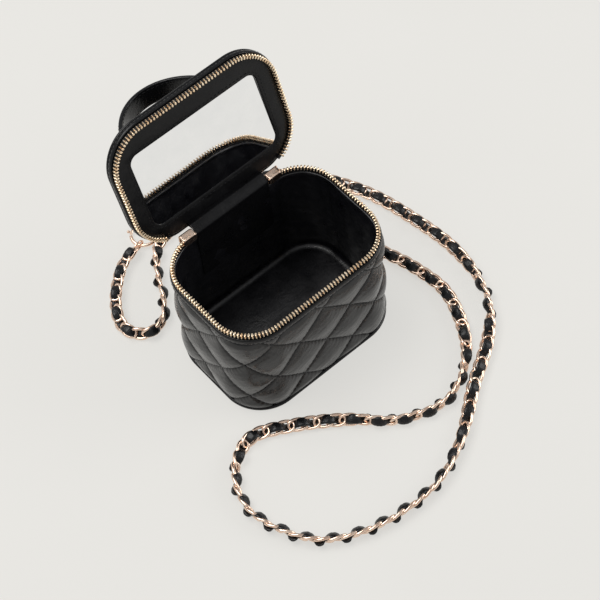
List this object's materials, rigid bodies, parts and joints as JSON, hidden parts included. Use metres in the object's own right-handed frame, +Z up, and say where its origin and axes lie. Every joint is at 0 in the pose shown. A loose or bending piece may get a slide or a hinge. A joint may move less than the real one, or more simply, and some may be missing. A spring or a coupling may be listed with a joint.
{
  "type": "crossbody purse",
  "caption": "Small quilted vanity-case purse with a zipped mirrored lid, a top handle and a chain-and-leather shoulder strap.",
  "frame": {"origin": "centre of the case's base, on the surface it stands on", "axes": "+X along the case from its left end to its right end, +Y from the front to the hinge at the back, +Z up"},
  "size_m": [0.2279, 0.2823, 0.1735],
  "materials": {
    "quilted_leather": "satin quilted",
    "smooth_leather": "satin",
    "lining": "glossy",
    "zip_tape": "matte",
    "zip_metal": "polished",
    "hardware": "polished rose gold",
    "board": "matte",
    "foam": "matte",
    "mirror": "mirror",
    "strap": "satin"
  },
  "bodies": {
    "case": {"quilted_wall": "quilted_leather", "rim_facing": "smooth_leather", "base_panel": "smooth_leather", "base_piping": "smooth_leather", "case_stiffener": "board", "base_board": "board", "case_lining": "lining", "base_lining": "lining", "case_zip_tape": "zip_tape", "case_zip_teeth": "zip_metal", "zip_end_stops": "zip_metal", "hinge_panel_case": "smooth_leather", "hinge_strip_case": "smooth_leather", "d_ring_tab_left": "smooth_leather", "d_ring_tab_right": "smooth_leather", "strap_cord": "strap", "strap_ring_left": "hardware", "strap_ring_right": "hardware"},
    "lid": {"lid_facing": "smooth_leather", "lid_piping": "smooth_leather", "lid_top_panel": "quilted_leather", "lid_padding": "foam", "lid_board": "board", "mirror_frame_board": "board", "mirror_glass": "mirror", "mirror_bezel": "smooth_leather", "lid_zip_tape": "zip_tape", "lid_zip_teeth": "zip_metal", "hinge_panel_lid": "smooth_leather", "hinge_strip_lid": "smooth_leather", "handle_strap": "smooth_leather", "handle_tab_left": "smooth_leather", "handle_tab_right": "smooth_leather"},
    "slider_left": {"slider_left": "hardware"},
    "slider_right": {"slider_right": "hardware"},
    "pull_left": {"pull_left": "hardware"},
    "pull_right": {"pull_right": "hardware"},
    "d_ring_left": {"d_ring_left": "hardware"},
    "d_ring_right": {"d_ring_right": "hardware"},
    "strap_gate_left": {"strap_gate_left": "hardware"},
    "strap_gate_right": {"strap_gate_right": "hardware"}
  },
  "joints": [
    {"name": "lid_hinge", "type": "hinge", "parent": "case", "child": "lid", "pos_m": [0, 0.0448, 0.089], "axis": [-1, 0, 0], "range_deg": [-107, 13]},
    {"name": "slider_left_travel", "type": "hinge", "parent": "case", "child": "slider_left", "pos_m": [-0.034, 0.0165, 0.089], "axis": [0, 0, 1], "range_deg": [0, 8]},
    {"name": "pull_left_swing", "type": "hinge", "parent": "slider_left", "child": "pull_left", "pos_m": [-0.034, 0.04675, 0.0868], "axis": [1, 0, 0], "range_deg": [0, 50]},
    {"name": "slider_right_travel", "type": "hinge", "parent": "case", "child": "slider_right", "pos_m": [0.034, 0.0165, 0.089], "axis": [0, 0, -1], "range_deg": [0, 8]},
    {"name": "pull_right_swing", "type": "hinge", "parent": "slider_right", "child": "pull_right", "pos_m": [0.034, 0.04675, 0.0868], "axis": [1, 0, 0], "range_deg": [0, 50]},
    {"name": "d_ring_left_swing", "type": "hinge", "parent": "case", "child": "d_ring_left", "pos_m": [-0.018, 0.0466, 0.068], "axis": [1, 0, 0], "range_deg": [0, 70]},
    {"name": "d_ring_right_swing", "type": "hinge", "parent": "case", "child": "d_ring_right", "pos_m": [0.018, 0.0466, 0.068], "axis": [1, 0, 0], "range_deg": [-8, 0]},
    {"name": "strap_gate_left_press", "type": "hinge", "parent": "case", "child": "strap_gate_left", "pos_m": [-0.02184, 0.12494, 0.00285], "axis": [0, 0, 1], "range_deg": [0, 16], "stiffness_Nm_per_rad": 0.002, "springref_deg": -8.59},
    {"name": "strap_gate_right_press", "type": "hinge", "parent": "case", "child": "strap_gate_right", "pos_m": [0.018, 0.06246, 0.04833], "axis": [1, 0, 0], "range_deg": [0, 16], "stiffness_Nm_per_rad": 0.002, "springref_deg": -8.59}
  ]
}
